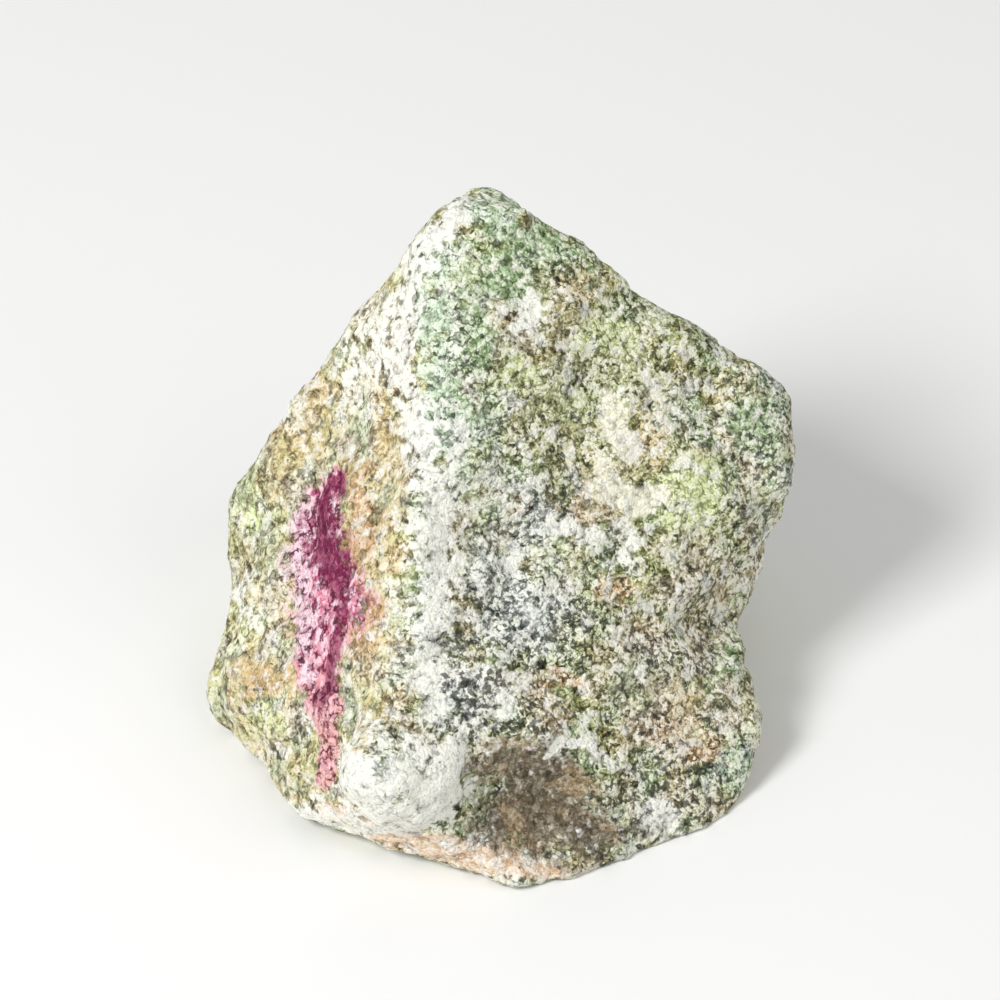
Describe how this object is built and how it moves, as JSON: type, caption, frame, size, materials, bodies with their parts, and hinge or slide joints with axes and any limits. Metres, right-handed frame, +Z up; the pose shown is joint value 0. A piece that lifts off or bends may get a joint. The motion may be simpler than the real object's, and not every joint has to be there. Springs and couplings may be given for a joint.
{
  "type": "ruby in zoisite",
  "caption": "Rough, broken lump of grey-green zoisite rock with a magenta ruby lens in its side; it sits on a flat fracture face.",
  "frame": {"origin": "middle of the stone's box, on the flat face that it rests on", "axes": "+Z up, +X to the right along the stone's longest side, +Y away from the broad front face"},
  "size_m": [0.047, 0.0448, 0.042],
  "materials": {
    "stone": "matte"
  },
  "bodies": {
    "root": {"stone": "stone"}
  },
  "joints": []
}
